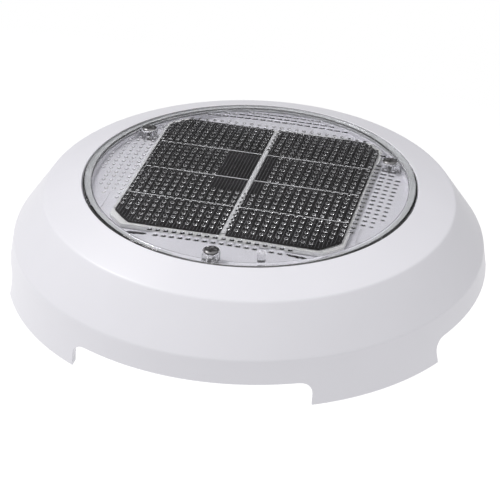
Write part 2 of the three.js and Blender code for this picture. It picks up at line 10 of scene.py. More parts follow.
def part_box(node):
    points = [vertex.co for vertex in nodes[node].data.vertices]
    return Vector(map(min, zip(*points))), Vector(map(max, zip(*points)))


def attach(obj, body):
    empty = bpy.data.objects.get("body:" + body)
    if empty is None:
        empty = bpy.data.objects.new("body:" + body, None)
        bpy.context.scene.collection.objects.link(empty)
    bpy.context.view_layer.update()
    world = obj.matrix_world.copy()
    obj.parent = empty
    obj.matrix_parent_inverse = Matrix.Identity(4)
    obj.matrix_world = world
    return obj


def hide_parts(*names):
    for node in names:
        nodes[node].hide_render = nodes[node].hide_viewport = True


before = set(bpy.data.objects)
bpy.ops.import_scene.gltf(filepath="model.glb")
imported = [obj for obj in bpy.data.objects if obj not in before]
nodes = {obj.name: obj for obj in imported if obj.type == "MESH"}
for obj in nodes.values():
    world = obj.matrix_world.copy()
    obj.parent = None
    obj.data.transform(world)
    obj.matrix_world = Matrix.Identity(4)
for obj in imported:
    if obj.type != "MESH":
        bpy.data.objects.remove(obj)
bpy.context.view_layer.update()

MM = 0.001


def box_mm(node):
    """Lowest and highest corner of a CAD node, in millimetres."""
    low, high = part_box(node)
    return low / MM, high / MM


# ---- driving dimensions, millimetres ----

FOOT_R = 109.5
SKIRT_R, SKIRT_Z = 106.0, 20.7
SHOULDER_R, SHOULDER_Z = 92.0, 40.6
OPENING_R = 75.0
OPENING_Z = box_mm("cover_shell")[1].z
FOOT_WALL = 3.8
SKIRT_WALL, SKIRT_DROP = 3.3, 1.3
CREASE_SOFT = 0.9
NOTCH_Z = 10.4
NOTCH_FILLET = 5.5
NOTCH_HALF = FOOT_R * math.sin(math.radians(28))
SEAT_Z = 43.0
WELL_R = 70.2
FLOOR_TOP, FLOOR_UNDER = 41.0, 39.0
LEG_PCR = 74.0
LEG_ANGLES = (45, 135, 225, 315)
GUSSETS = 24

LENS_HIGH = box_mm("dome_lens")[1]
LENS_R = LENS_HIGH.x
LENS_RISE = 4.0
LENS_RIM_Z = LENS_HIGH.z - LENS_RISE
LENS_WALL = 2.4
LENS_RIM_IN = 70.4
LENS_RIM_UNDER = 44.2
SCREW_PCR = 66.0
SCREW_ANGLES = (-90, 30, 150)
BUMP_PITCH = 3.6
BUMP_R = 0.9
BUMP_DEEP = 0.55
BUMP_AT = (-1.2, -0.6)
BUMP_FIELD_R = 66.5

CELL_TOP = box_mm("solar_cell_1")[1].z
PANEL_Y = (box_mm("solar_cell_1")[0].y + box_mm("solar_cell_8")[1].y) / 2
ROW_STEP = (box_mm("solar_cell_8")[1].y - box_mm("solar_cell_1")[0].y) / 4
FAN_R = box_mm("fan_rotor")[1].x


# ---- materials ----

def new_material(name):
    material = bpy.data.materials.new(name)
    material.use_nodes = True
    tree = material.node_tree
    return material, tree, tree.nodes["Principled BSDF"]


def add_node(tree, kind, **values):
    node = tree.nodes.new(kind)
    for key, value in values.items():
        if key in node.inputs:
            node.inputs[key].default_value = value
        else:
            setattr(node, key, value)
    return node


def object_noise(tree, scale, detail=3.0):
    """A noise texture on the object's own coordinates, scale in cycles per metre."""
    coordinates = add_node(tree, "ShaderNodeTexCoord")
    noise = add_node(tree, "ShaderNodeTexNoise", Scale=scale, Detail=detail)
    tree.links.new(coordinates.outputs["Object"], noise.inputs["Vector"])
    return noise


def vary_colour(tree, shader, noise, first, second):
    ramp = add_node(tree, "ShaderNodeValToRGB")
    ramp.color_ramp.elements[0].position = 0.3
    ramp.color_ramp.elements[0].color = first
    ramp.color_ramp.elements[1].position = 0.7
    ramp.color_ramp.elements[1].color = second
    tree.links.new(noise.outputs["Fac"], ramp.inputs["Fac"])
    tree.links.new(ramp.outputs["Color"], shader.inputs["Base Color"])


def vary_roughness(tree, shader, noise, low, high):
    span = add_node(tree, "ShaderNodeMapRange")
    span.inputs["To Min"].default_value = low
    span.inputs["To Max"].default_value = high
    tree.links.new(noise.outputs["Fac"], span.inputs["Value"])
    tree.links.new(span.outputs["Result"], shader.inputs["Roughness"])


def add_bump(tree, shader, noise, height):
    bump = add_node(tree, "ShaderNodeBump", Strength=1.0, Distance=height * MM)
    tree.links.new(noise.outputs["Fac"], bump.inputs["Height"])
    tree.links.new(bump.outputs["Normal"], shader.inputs["Normal"])


def shade(colour, factor):
    return tuple(min(1.0, channel * factor) for channel in colour[:3]) + (1,)


def plastic(name, colour, rough=(0.32, 0.42), grain=0.006, grain_scale=1400, mottle=0.04, coat=0.0):
    """Moulded plastic: faint mottle, uneven gloss and a fine moulded grain."""
    material, tree, shader = new_material(name)
    broad = object_noise(tree, 60, 2.0)
    fine = object_noise(tree, grain_scale, 4.0)
    vary_colour(tree, shader, broad, shade(colour, 1 - mottle), shade(colour, 1 + mottle))
    vary_roughness(tree, shader, fine, *rough)
    add_bump(tree, shader, fine, grain)
    shader.inputs["IOR"].default_value = 1.5
    shader.inputs["Coat Weight"].default_value = coat
    return material


def metal(name, colour, rough=(0.22, 0.38), stretch=(1, 1, 12), scale=500):
    """Drawn or turned metal: roughness and colour streaked along one axis."""
    material, tree, shader = new_material(name)
    coordinates = add_node(tree, "ShaderNodeTexCoord")
    mapping = add_node(tree, "ShaderNodeMapping", Scale=stretch)
    noise = add_node(tree, "ShaderNodeTexNoise", Scale=scale, Detail=4.0)
    tree.links.new(coordinates.outputs["Object"], mapping.inputs["Vector"])
    tree.links.new(mapping.outputs["Vector"], noise.inputs["Vector"])
    vary_colour(tree, shader, noise, shade(colour, 0.82), shade(colour, 1.1))
    vary_roughness(tree, shader, noise, *rough)
    add_bump(tree, shader, noise, 0.003)
    shader.inputs["Metallic"].default_value = 1.0
    return material


def shade_tinted_clear_plastic(name):
    """Clear polycarbonate with flow haze in its gloss; its grey tint is painted shade standing in for the
    lens's shadow.
    """
    material, tree, shader = new_material(name)
    haze = object_noise(tree, 90, 3.0)
    # Painted shade: the lens casts no shadow, so this grey tint darkens the well seen through it; the haze
    # varies the tint a little.
    vary_colour(tree, shader, haze, (0.83, 0.83, 0.842, 1), (0.86, 0.86, 0.872, 1))
    vary_roughness(tree, shader, haze, 0.01, 0.04)
    shader.inputs["IOR"].default_value = 1.58
    shader.inputs["Transmission Weight"].default_value = 1.0
    return material


def silicon(name):
    """Dark silicon with little gloss: crystal flakes of slightly different tint."""
    material, tree, shader = new_material(name)
    coordinates = add_node(tree, "ShaderNodeTexCoord")
    flakes = add_node(tree, "ShaderNodeTexVoronoi", Scale=260.0)
    tree.links.new(coordinates.outputs["Object"], flakes.inputs["Vector"])
    ramp = add_node(tree, "ShaderNodeValToRGB")
    ramp.color_ramp.elements[0].color = (0.004, 0.0035, 0.004, 1)
    ramp.color_ramp.elements[1].color = (0.010, 0.008, 0.009, 1)
    tree.links.new(flakes.outputs["Color"], ramp.inputs["Fac"])
    tree.links.new(ramp.outputs["Color"], shader.inputs["Base Color"])
    fine = object_noise(tree, 900, 3.0)
    vary_roughness(tree, shader, fine, 0.30, 0.45)
    shader.inputs["Specular IOR Level"].default_value = 0.25
    return material


def make_materials():
    return {
        "cover": plastic("cover_white", (0.82, 0.812, 0.86, 1), rough=(0.30, 0.40), mottle=0.006),
        "inner": plastic("inner_white", (0.76, 0.765, 0.77, 1), rough=(0.42, 0.55), grain=0.01, mottle=0.015),
        "clear": shade_tinted_clear_plastic("lens_clear"),
        "grey_seal": plastic("seal_grey", (0.60, 0.61, 0.62, 1), rough=(0.5, 0.65), grain=0.02, mottle=0.05),
        "foam": plastic("gasket_foam", (0.035, 0.036, 0.04, 1), rough=(0.8, 0.95), grain=0.08,
                        grain_scale=2200, mottle=0.25),
        "cell": silicon("cell_dark"),
        "finger": metal("finger_silver", (0.62, 0.62, 0.64, 1), rough=(0.25, 0.45)),
        "print": plastic("line_white", (0.78, 0.78, 0.79, 1), rough=(0.35, 0.5), mottle=0.03),
        "board": plastic("board_white", (0.80, 0.80, 0.79, 1), rough=(0.5, 0.65), mottle=0.02),
        "tin": metal("tin_ribbon", (0.72, 0.73, 0.75, 1), rough=(0.2, 0.35), stretch=(12, 1, 12)),
        "screw": metal("screw_dark", (0.20, 0.195, 0.20, 1), rough=(0.25, 0.4)),
        "steel": metal("bright_steel", (0.58, 0.59, 0.60, 1)),
        "magnet": plastic("magnet_dark", (0.05, 0.05, 0.052, 1), rough=(0.5, 0.7), grain=0.02, mottle=0.15),
        "brass": metal("bush_bronze", (0.62, 0.44, 0.20, 1)),
        "copper": metal("winding_copper", (0.62, 0.27, 0.12, 1), stretch=(1, 1, 30)),
        "black": plastic("black_plastic", (0.02, 0.02, 0.021, 1), rough=(0.4, 0.55), grain=0.01, mottle=0.1),
        "fan": plastic("fan_grey", (0.52, 0.53, 0.54, 1), rough=(0.36, 0.48), mottle=0.02),
        "sleeve": plastic("battery_sleeve", (0.03, 0.20, 0.09, 1), rough=(0.18, 0.3), grain=0.004, coat=0.4),
        "red": plastic("switch_red", (0.45, 0.03, 0.025, 1), rough=(0.35, 0.5)),
        "lead_red": plastic("lead_red", (0.42, 0.02, 0.02, 1), rough=(0.45, 0.6)),
        "lead_black": plastic("lead_black", (0.02, 0.02, 0.02, 1), rough=(0.45, 0.6)),
    }


MATERIALS = make_materials()


# ---- piece helpers ----

def polar(radius, degrees):
    return radius * math.cos(math.radians(degrees)), radius * math.sin(math.radians(degrees))


def finish_mesh(mesh, smooth_deg):
    for polygon in mesh.polygons:
        polygon.use_smooth = True
    mesh.set_sharp_from_angle(angle=math.radians(smooth_deg))


def make_piece(name, surface, material, body, smooth_deg=35, stands_for=()):
    """A mesh piece from a surface in millimetres, riding on a body."""
    mesh = bpy.data.meshes.new(name)
    mesh.from_pydata([Vector(v) * MM for v in surface.vertices], [], surface.faces)
    work = bmesh.new()
    work.from_mesh(mesh)
    bmesh.ops.remove_doubles(work, verts=work.verts, dist=1e-7)
    bmesh.ops.recalc_face_normals(work, faces=work.faces)
    work.to_mesh(mesh)
    work.free()
    finish_mesh(mesh, smooth_deg)
    piece = bpy.data.objects.new(name, mesh)
    bpy.context.scene.collection.objects.link(piece)
    piece.data.materials.append(MATERIALS[material])
    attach(piece, body)
    if stands_for:
        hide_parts(*stands_for)
    return piece


def soften(piece, width, segments=3, angle_deg=38):
    """A small rounding on every sharp edge."""
    bevel = piece.modifiers.new("soft_edges", "BEVEL")
    bevel.width = width * MM
    bevel.segments = segments
    bevel.limit_method = "ANGLE"
    bevel.angle_limit = math.radians(angle_deg)
    bevel.harden_normals = True
    bevel.use_clamp_overlap = True
    return piece


class Surface:
    """Collects the vertices and faces of one mesh."""

    def __init__(self):
        self.vertices = []
        self.faces = []

    def row(self, points):
        start = len(self.vertices)
        self.vertices.extend(points)
        return list(range(start, len(self.vertices)))

    def strip(self, first, second, closed):
        count = len(first)
        for i in range(count if closed else count - 1):
            j = (i + 1) % count
            self.faces.append((first[i], first[j], second[j], second[i]))

    def strips(self, rows, closed):
        for first, second in zip(rows, rows[1:]):
            self.strip(first, second, closed)

    def fan(self, ring, centre):
        middle = self.row([centre])[0]
        for i in range(len(ring)):
            self.faces.append((ring[i], ring[(i + 1) % len(ring)], middle))

    def add(self, other):
        offset = len(self.vertices)
        self.vertices.extend(other.vertices)
        self.faces.extend(tuple(i + offset for i in face) for face in other.faces)


def full_turn(segments):
    return [2 * math.pi * i / segments for i in range(segments)]


def ring_points(r, z, angles, centre=(0, 0)):
    return [(centre[0] + r * math.cos(a), centre[1] + r * math.sin(a), z) for a in angles]


def lathe(profile, segments=96, centre=(0, 0)):
    """A closed turned surface; a profile that leaves the axis is closed on itself."""
    surface = Surface()
    angles = full_turn(segments)
    rings = []
    for r, z in profile:
        if r > 0:
            rings.append(surface.row(ring_points(r, z, angles, centre)))
        else:
            rings.append(surface.row([(centre[0], centre[1], z)]))
    pairs = list(zip(rings, rings[1:]))
    if profile[0][0] > 0 and profile[-1][0] > 0:
        pairs.append((rings[-1], rings[0]))
    for first, second in pairs:
        if len(first) == 1 and len(second) == 1:
            continue
        if len(first) == 1 or len(second) == 1:
            point, ring = (first[0], second) if len(first) == 1 else (second[0], first)
            for i in range(segments):
                surface.faces.append((ring[i], ring[(i + 1) % segments], point))
        else:
            surface.strip(first, second, True)
    return surface


def soft_corner(before, corner, after, reach, steps):
    """Points of a short curve that rounds one corner of a profile."""
    middle = Vector(corner)
    start = middle + (Vector(before) - middle).normalized() * reach
    end = middle + (Vector(after) - middle).normalized() * reach
    points = []
    for i in range(steps + 1):
        t = i / steps
        point = start * (1 - t) ** 2 + middle * 2 * t * (1 - t) + end * t ** 2
        points.append((point.x, point.y))
    return points


# ---- cover shell ----

COLUMNS_HALF_NOTCH = 14
COLUMNS_FOOT = 20
FOOT_ROWS = (0.0, 2.4, NOTCH_Z - NOTCH_FILLET)
FILLET_STEPS = 6


def outer_radius(z):
    return FOOT_R + (SKIRT_R - FOOT_R) * z / SKIRT_Z


def inner_radius(z):
    return FOOT_R - FOOT_WALL + (SKIRT_R - SKIRT_WALL - FOOT_R + FOOT_WALL) * z / (SKIRT_Z - SKIRT_DROP)


def notch_half_width(z):
    """Half the notch's width at a height: straight sides, then a fillet up to the notch's roof."""
    rise = z - (NOTCH_Z - NOTCH_FILLET)
    if rise <= 0:
        return NOTCH_HALF
    return NOTCH_HALF - NOTCH_FILLET + math.sqrt(max(0.0, NOTCH_FILLET ** 2 - rise ** 2))


def foot_angles(quarter, z, radius):
    edge = math.asin(notch_half_width(z) / radius)
    start = quarter * math.pi / 2 + edge
    span = math.pi / 2 - 2 * edge
    return [start + span * i / COLUMNS_FOOT for i in range(COLUMNS_FOOT + 1)]


def ring_angles(radius):
    """One full turn of columns; the feet's columns are the ones that foot_angles gives at the notch roof."""
    angles = []
    edge = math.asin(notch_half_width(NOTCH_Z) / radius)
    for quarter in range(4):
        axis = quarter * math.pi / 2
        angles.extend(axis + edge * i / COLUMNS_HALF_NOTCH for i in range(COLUMNS_HALF_NOTCH))
        angles.extend(foot_angles(quarter, NOTCH_Z, radius))
        after = axis + math.pi / 2 - edge
        angles.extend(after + edge * i / COLUMNS_HALF_NOTCH for i in range(1, COLUMNS_HALF_NOTCH))
    return angles


def shell_profiles():
    """Radius and height along the shell's outer side, notch roof to middle, and back along its inner side."""
    foot, skirt = (FOOT_R, 0), (SKIRT_R, SKIRT_Z)
    shoulder, opening = (SHOULDER_R, SHOULDER_Z), (OPENING_R, OPENING_Z)
    outer = [(outer_radius(NOTCH_Z), NOTCH_Z), (outer_radius(15), 15)]
    outer += soft_corner(foot, skirt, shoulder, CREASE_SOFT, 6)
    outer += [(99.0, SKIRT_Z + (SHOULDER_Z - SKIRT_Z) * 0.5)]
    outer += soft_corner(skirt, shoulder, opening, CREASE_SOFT, 6)
    outer += [(83.5, OPENING_Z - (83.5 - OPENING_R) * (OPENING_Z - SHOULDER_Z) / (SHOULDER_R - OPENING_R))]
    outer += [opening, (OPENING_R, SEAT_Z), (WELL_R, SEAT_Z), (WELL_R, FLOOR_TOP)]
    outer += [(35.0, FLOOR_TOP), (4.0, FLOOR_TOP)]
    under_ring, in_foot = (78.0, 41.6), (FOOT_R - FOOT_WALL, 0)
    in_shoulder, in_skirt = (SHOULDER_R - 1.8, SHOULDER_Z - 3.3), (SKIRT_R - SKIRT_WALL, SKIRT_Z - SKIRT_DROP)
    inner = [(4.0, FLOOR_UNDER), (35.0, FLOOR_UNDER), (71.0, FLOOR_UNDER), under_ring]
    inner += soft_corner(under_ring, in_shoulder, in_skirt, 2.0, 3)
    inner += soft_corner(in_shoulder, in_skirt, in_foot, 2.0, 3)
    inner += [(inner_radius(NOTCH_Z), NOTCH_Z)]
    return outer, inner


def cover_shell():
    """The turned shell above the notch roofs, then the four feet that reach down between the notches."""
    surface = Surface()
    outer, inner = shell_profiles()

    def rows_of(profile, angles):
        return [surface.row(ring_points(r, z, angles)) for r, z in profile]

    outer_rows = rows_of(outer, ring_angles(outer_radius(NOTCH_Z)))
    inner_rows = rows_of(inner, ring_angles(inner_radius(NOTCH_Z)))
    surface.strips(outer_rows, True)
    surface.strips(inner_rows, True)
    surface.fan(outer_rows[-1], (0, 0, FLOOR_TOP))
    surface.fan(inner_rows[0], (0, 0, FLOOR_UNDER))
    per_quarter = 2 * COLUMNS_HALF_NOTCH + COLUMNS_FOOT
    total = 4 * per_quarter
    steps = [math.pi / 2 * i / FILLET_STEPS for i in range(1, FILLET_STEPS)]
    heights = list(FOOT_ROWS) + [NOTCH_Z - NOTCH_FILLET + NOTCH_FILLET * math.sin(a) for a in steps]
    for quarter in range(4):
        first = quarter * per_quarter + COLUMNS_HALF_NOTCH
        sides = []
        for radius_at, top_row in ((outer_radius, outer_rows[0]), (inner_radius, inner_rows[-1])):
            rows = []
            for z in heights:
                r = radius_at(z)
                rows.append(surface.row(ring_points(r, z, foot_angles(quarter, z, r))))
            rows.append([top_row[(first + i) % total] for i in range(COLUMNS_FOOT + 1)])
            surface.strips(rows, False)
            sides.append(rows)
        outside, inside = sides
        surface.strip(outside[0], inside[0], False)
        surface.strip([row[0] for row in outside], [row[0] for row in inside], False)
        surface.strip([row[-1] for row in outside], [row[-1] for row in inside], False)
        roof = [(first + COLUMNS_FOOT + i) % total for i in range(2 * COLUMNS_HALF_NOTCH + 1)]
        surface.strip([outer_rows[0][i] for i in roof], [inner_rows[-1][i] for i in roof], False)
    piece = make_piece("cover_shell_fine", surface, "cover", "cover",
                       smooth_deg=32, stands_for=("cover_shell",))
    return soften(piece, 0.5, 3, 36)


def cover_underside():
    """Legs, screw bosses and stiffening ribs moulded under the cover."""
    leg = [(0, 9.5), (2.6, 9.5), (3.3, 10.4), (3.4, 30.0), (4.2, 36.0), (6.0, 39.6), (0, 39.6)]
    bosses = Surface()
    for degrees in LEG_ANGLES:
        bosses.add(lathe(leg, 32, polar(LEG_PCR, degrees)))
    tall = [(1.6, 36.3), (3.6, 36.3), (4.0, 36.8), (4.1, 39.2), (1.6, 39.2)]
    for degrees in SCREW_ANGLES:
        bosses.add(lathe(tall, 32, polar(SCREW_PCR, degrees)))
    make_piece("cover_legs", bosses, "inner", "cover")
    ribs = Surface()
    for i in range(GUSSETS):
        ribs.add(gusset(360 / GUSSETS * (i + 0.5)))
    make_piece("cover_ribs", ribs, "inner", "cover")


def gusset(degrees):
    """One thin radial rib in the angle between the shoulder and the skirt."""
    surface = Surface()
    outline = [(80.0, 40.6), (89.6, 37.4), (101.9, 19.6), (99.4, 19.6), (86.5, 35.0), (80.0, 38.0)]
    across = Vector((-math.sin(math.radians(degrees)), math.cos(math.radians(degrees)), 0))
    rows = []
    for side in (-0.6, 0.6):
        points = []
        for r, z in outline:
            x, y = polar(r, degrees)
            points.append((x + across.x * side, y + across.y * side, z))
        rows.append(surface.row(points))
    surface.strip(rows[0], rows[1], True)
    surface.faces.append(tuple(rows[0]))
    surface.faces.append(tuple(reversed(rows[1])))
    return surface


# ---- clear lens with its bump field ----

# The lens is laid out on square tiles. Each tile has a surface above and one below, named by its level, and
# a block of three by three tiles holds one bump.
TILE = BUMP_PITCH / 3
HALF_BLOCK = BUMP_PITCH / 2
SCREW_HOLE_R = 1.6
HEAD_WELL_R = 3.6
HEAD_WELL_Z = 46.6
BOSS_R = 4.0
BOSS_UNDER = FLOOR_TOP + 0.3
POST_R = 2.0
POST_AT = polar(63.4, -71.5)

# Ribs near the front corners: along both sides and along the front, outside the middle RIB_FREE.
RIB_SIDE = 56.4
RIB_FRONT = -58.2
RIB_FREE = 30.0
FRONT_RIB_SLOPE, SIDE_RIB_SLOPE = 0.5, 0.25

# Where the lens has no bumps: a patch in the middle, a gap at the back, the panel's front corners, the
# screw bosses, and everything in front of FRONT_EDGE except for two rows.
BARE_PATCH = (-13.0, 8.0, -17.0, 22.0)
BARE_BACK = (51.0, 55.0)
BARE_BOSS_R = BOSS_R + 2.0
CORNER_REACH = 87.6
FRONT_EDGE = -49.5
FRONT_ROWS = (-60.0, -52.5)
FRONT_SPAN = (-32.5, 33.0)

# Bumps are round left of an X and within a Y either way, pointed elsewhere, and smaller at the far right.
ROUND_TO = (50.5, 51.5)
SMALL_FROM, SMALL_SIZE = 58.0, 0.7
BUMP_SEGMENTS = 12
BUMP_STEPS = (0.0, 0.3, 0.6, 0.85)

# A loop of grid points round a screw belongs to its hole if it stays within HOLE_LOOP_R.
HOLE_LOOP_R = 2.2
BOSS_SEARCH_R = 9.0
SCREW_CENTRES = [polar(SCREW_PCR, degrees) for degrees in SCREW_ANGLES]


def lens_top(r):
    return LENS_RIM_Z + LENS_RISE * (1 - (r / LENS_R) ** 2)


def tile_x(i):
    return BUMP_AT[0] + HALF_BLOCK + i * TILE


def tile_y(j):
    return BUMP_AT[1] + HALF_BLOCK + j * TILE


def has_bump(x, y):
    """Whether a bump stands at a block centre."""
    x0, x1, y0, y1 = BARE_PATCH
    in_patch = x0 < x < x1 and y0 < y < y1
    in_gap = BARE_BACK[0] < y < BARE_BACK[1]
    near_boss = any(math.hypot(x - cx, y - cy) < BARE_BOSS_R for cx, cy in SCREW_CENTRES)
    if y < FRONT_EDGE:
        in_front = not (FRONT_SPAN[0] < x < FRONT_SPAN[1] and FRONT_ROWS[0] < y < FRONT_ROWS[1])
    else:
        in_front = y < -RIB_FREE and abs(x) + abs(y - PANEL_Y) > CORNER_REACH
    return math.hypot(x, y) < BUMP_FIELD_R and not (in_patch or in_gap or near_boss or in_front)


def tile_levels(x, y):
    """Names of the levels above and below one tile, from its centre."""
    for cx, cy in SCREW_CENTRES:
        away = math.hypot(x - cx, y - cy)
        if away < HEAD_WELL_R + 0.1:
            return "well", "boss"
        if away < BOSS_R + 0.4:
            return "plain", "boss"
    if math.hypot(x - POST_AT[0], y - POST_AT[1]) < POST_R:
        return "plain", "boss"
    if abs(abs(x) - RIB_SIDE) < TILE / 2 and y < -RIB_FREE:
        return "plain", "side_rib"
    if abs(y - RIB_FRONT) < TILE / 2 and abs(x) > RIB_FREE:
        return "plain", "front_rib"
    return "plain", "plain"


def level_height(level, x, y):
    """Height of a level at one place. The ribs' levels slope down towards the middle of the lens."""
    if level == "well":
        return HEAD_WELL_Z
    if level == "boss":
        return BOSS_UNDER
    top = lens_top(math.hypot(x, y))
    if level == "top":
        return top
    if level == "side_rib":
        return top - LENS_WALL - SIDE_RIB_SLOPE * (RIB_SIDE + TILE / 2 - abs(x))
    if level == "front_rib":
        return top - LENS_WALL - FRONT_RIB_SLOPE * (y - RIB_FRONT + TILE / 2)
    return top - LENS_WALL


def in_screw_hole(i, j):
    """Whether a tile lies in one of the screw holes, which have no tiles."""
    x, y = tile_x(i + 0.5), tile_y(j + 0.5)
    return any(math.hypot(x - cx, y - cy) < SCREW_HOLE_R - 0.2 for cx, cy in SCREW_CENTRES)


def lens_tiles():
    """Tiles inside the rim and outside the screw holes, with their level names above and below."""
    reach = int(LENS_RIM_IN / TILE) + 3
    tiles = {}
    for i in range(-reach, reach):
        for j in range(-reach, reach):
            x, y = tile_x(i + 0.5), tile_y(j + 0.5)
            inside = math.hypot(x, y) < LENS_RIM_IN - 0.3 * TILE
            if inside and not in_screw_hole(i, j):
                above, below = tile_levels(x, y)
                tiles[i, j] = ("top" if above == "plain" else above, below)
    return tiles


def edge_loops(cells):
    """Ordered loops of grid points round the edge of a set of tiles."""
    after = {}
    inside = set(cells)
    for i, j in inside:
        corners = [(i, j), (i + 1, j), (i + 1, j + 1), (i, j + 1)]
        beside = [(i, j - 1), (i + 1, j), (i, j + 1), (i - 1, j)]
        for k in range(4):
            if beside[k] not in inside:
                after.setdefault(corners[k], []).append(corners[(k + 1) % 4])
    loops = []
    while after:
        start = next(iter(after))
        loop = [start]
        here = start
        while True:
            following = after[here].pop()
            if not after[here]:
                del after[here]
            if following == start:
                break
            loop.append(following)
            here = following
        loops.append(loop)
    return loops


def grid_distance(grid, centre):
    return math.hypot(tile_x(grid[0]) - centre[0], tile_y(grid[1]) - centre[1])


def is_hole_loop(loop, centre):
    return max(grid_distance(grid, centre) for grid in loop) <= HOLE_LOOP_R


def snap_to(place, points, centre, radius):
    """Move grid points straight out or in, onto a circle."""
    for point in points:
        dx, dy = place[point][0] - centre[0], place[point][1] - centre[1]
        scale = radius / math.hypot(dx, dy)
        place[point] = (centre[0] + dx * scale, centre[1] + dy * scale)


def lens_points(tiles):
    """Plan position of every grid point, moved onto the round edges of rim, bosses, wells and holes."""
    place = {}
    for i, j in tiles:
        for point in ((i, j), (i + 1, j), (i + 1, j + 1), (i, j + 1)):
            place[point] = (tile_x(point[0]), tile_y(point[1]))
    for centre in SCREW_CENTRES + [POST_AT]:
        near = {tile for tile in tiles if grid_distance(tile, centre) < BOSS_SEARCH_R}
        boss = [tile for tile in near if tiles[tile][1] == "boss"]
        radius = POST_R if centre == POST_AT else BOSS_R
        for loop in edge_loops(boss):
            is_hole = centre != POST_AT and is_hole_loop(loop, centre)
            snap_to(place, loop, centre, SCREW_HOLE_R if is_hole else radius)
        well = [tile for tile in near if tiles[tile][0] == "well"]
        for loop in edge_loops(well):
            snap_to(place, loop, centre, SCREW_HOLE_R if is_hole_loop(loop, centre) else HEAD_WELL_R - 0.05)
    rim = max(edge_loops(tiles), key=len)
    snap_to(place, rim, (0, 0), LENS_RIM_IN)
    return place, rim


def lens_bump(surface, edge, x, y):
    """One small bump hanging in one block; edge is the block's twelve lower points, anticlockwise.

    Bumps over the cells and to their left are round; the ones in front, behind and to the right are pointed,
    and the ones at the far right are smaller too."""
    rings = [edge]
    is_round = x < ROUND_TO[0] and abs(y) < ROUND_TO[1]
    size = SMALL_SIZE if x > SMALL_FROM else 1.0
    turn = math.atan2(-1, -1)
    for step in BUMP_STEPS:
        r = size * BUMP_R * (math.sqrt(1 - step ** 2) if is_round else 1 - step)
        deep = size * BUMP_DEEP * step
        points = []
        for k in range(BUMP_SEGMENTS):
            angle = turn + 2 * math.pi * k / BUMP_SEGMENTS
            px, py = x + r * math.cos(angle), y + r * math.sin(angle)
            points.append((px, py, level_height("plain", px, py) - deep))
        rings.append(surface.row(points))
    surface.strips(rings, True)
    surface.fan(rings[-1], (x, y, level_height("plain", x, y) - size * BUMP_DEEP))


def lens_blocks(tiles):
    """First tile of every three-by-three block that carries a bump."""
    reach = int(LENS_RIM_IN / BUMP_PITCH) + 1
    blocks = []
    for a in range(-reach, reach + 1):
        for b in range(-reach, reach + 1):
            first = (3 * a - 3, 3 * b - 3)
            members = [(first[0] + i, first[1] + j) for i in range(3) for j in range(3)]
            plain = all(tiles.get(member) == ("top", "plain") for member in members)
            if plain and has_bump(tile_x(first[0] + 1.5), tile_y(first[1] + 1.5)):
                blocks.append(first)
    return blocks


def lens_tile_faces(surface, tiles, bumped, point):
    """Top and under faces of every tile, and a wall wherever the level steps or the lens ends."""
    for (i, j), (above, below) in tiles.items():
        corners = [(i, j), (i + 1, j), (i + 1, j + 1), (i, j + 1)]
        surface.faces.append(tuple(point(c, above) for c in corners))
        if (i, j) not in bumped:
            surface.faces.append(tuple(point(c, below) for c in reversed(corners)))
        for k, beside in enumerate([(i, j - 1), (i + 1, j), (i, j + 1), (i - 1, j)]):
            start, end = corners[k], corners[(k + 1) % 4]
            if beside in tiles:
                pairs = zip(tiles[i, j], tiles[beside]) if beside > (i, j) else ()
            elif in_screw_hole(*beside):
                pairs = ((above, below),)
            else:
                pairs = (("top", above), ("plain", below))
            for first, second in pairs:
                if first != second:
                    wall = [point(start, first), point(end, first), point(end, second), point(start, second)]
                    surface.faces.append(tuple(wall))


def lens_rim(surface, place, rim, point):
    """The flat rim that stands round the lens, from its top edge down and back under to the inner wall."""
    rings = [[point(grid, "top") for grid in rim]]
    crest = LENS_R - 0.35
    profile = [(72.6, lens_top(72.6)), (crest, lens_top(crest)), (LENS_R, LENS_RIM_Z - 0.3),
               (LENS_R, LENS_RIM_UNDER + 0.3), (LENS_R - 0.3, LENS_RIM_UNDER),
               (LENS_RIM_IN + 0.2, LENS_RIM_UNDER), (LENS_RIM_IN, LENS_RIM_UNDER + 0.2)]
    for r, z in profile:
        share = r / LENS_RIM_IN
        rings.append(surface.row([(place[grid][0] * share, place[grid][1] * share, z) for grid in rim]))
    rings.append([point(grid, "plain") for grid in rim])
    surface.strips(rings, True)


def dome_lens():
    """The whole lens as one closed surface: tiles, bumps and rim on shared points."""
    tiles = lens_tiles()
    place, rim = lens_points(tiles)
    surface = Surface()
    made = {}

    def point(grid, level):
        if (grid, level) not in made:
            x, y = place[grid]
            made[grid, level] = surface.row([(x, y, level_height(level, x, y))])[0]
        return made[grid, level]

    bumped = set()
    for i, j in lens_blocks(tiles):
        around = [(i + k, j) for k in range(3)] + [(i + 3, j + k) for k in range(3)]
        around += [(i + 3 - k, j + 3) for k in range(3)] + [(i, j + 3 - k) for k in range(3)]
        lens_bump(surface, [point(grid, "plain") for grid in around], tile_x(i + 1.5), tile_y(j + 1.5))
        bumped.update((i + a, j + b) for a in range(3) for b in range(3))
    lens_tile_faces(surface, tiles, bumped, point)
    lens_rim(surface, place, rim, point)
    piece = make_piece("dome_lens_fine", surface, "clear", "cover",
                       smooth_deg=50, stands_for=("dome_lens",))
    # The lens casts no shadow; the grey tint of its material is painted shade in place of it.
    piece.visible_shadow = False
    return piece


# ---- solar cells' silver print ----

FINGER_PITCH = 1.5
FINGER_WIDTH = 0.16
FINGER_HIGH = 0.03
FINGER_INSET = 0.5
CELL_CORNER_R = 64.4
LINE_HALF = 0.3
EDGE_NEAR, EDGE_FAR = 0.15, 1.3
LEFT_LINE_HALF = 40
BACK_LINE_TO = 36


def flat_bar(surface, x0, x1, y0, y1, z0, z1):
    low = surface.row([(x0, y0, z0), (x1, y0, z0), (x1, y1, z0), (x0, y1, z0)])
    high = surface.row([(x0, y0, z1), (x1, y0, z1), (x1, y1, z1), (x0, y1, z1)])
    surface.strip(low, high, True)
    surface.faces.append(tuple(reversed(low)))
    surface.faces.append(tuple(high))


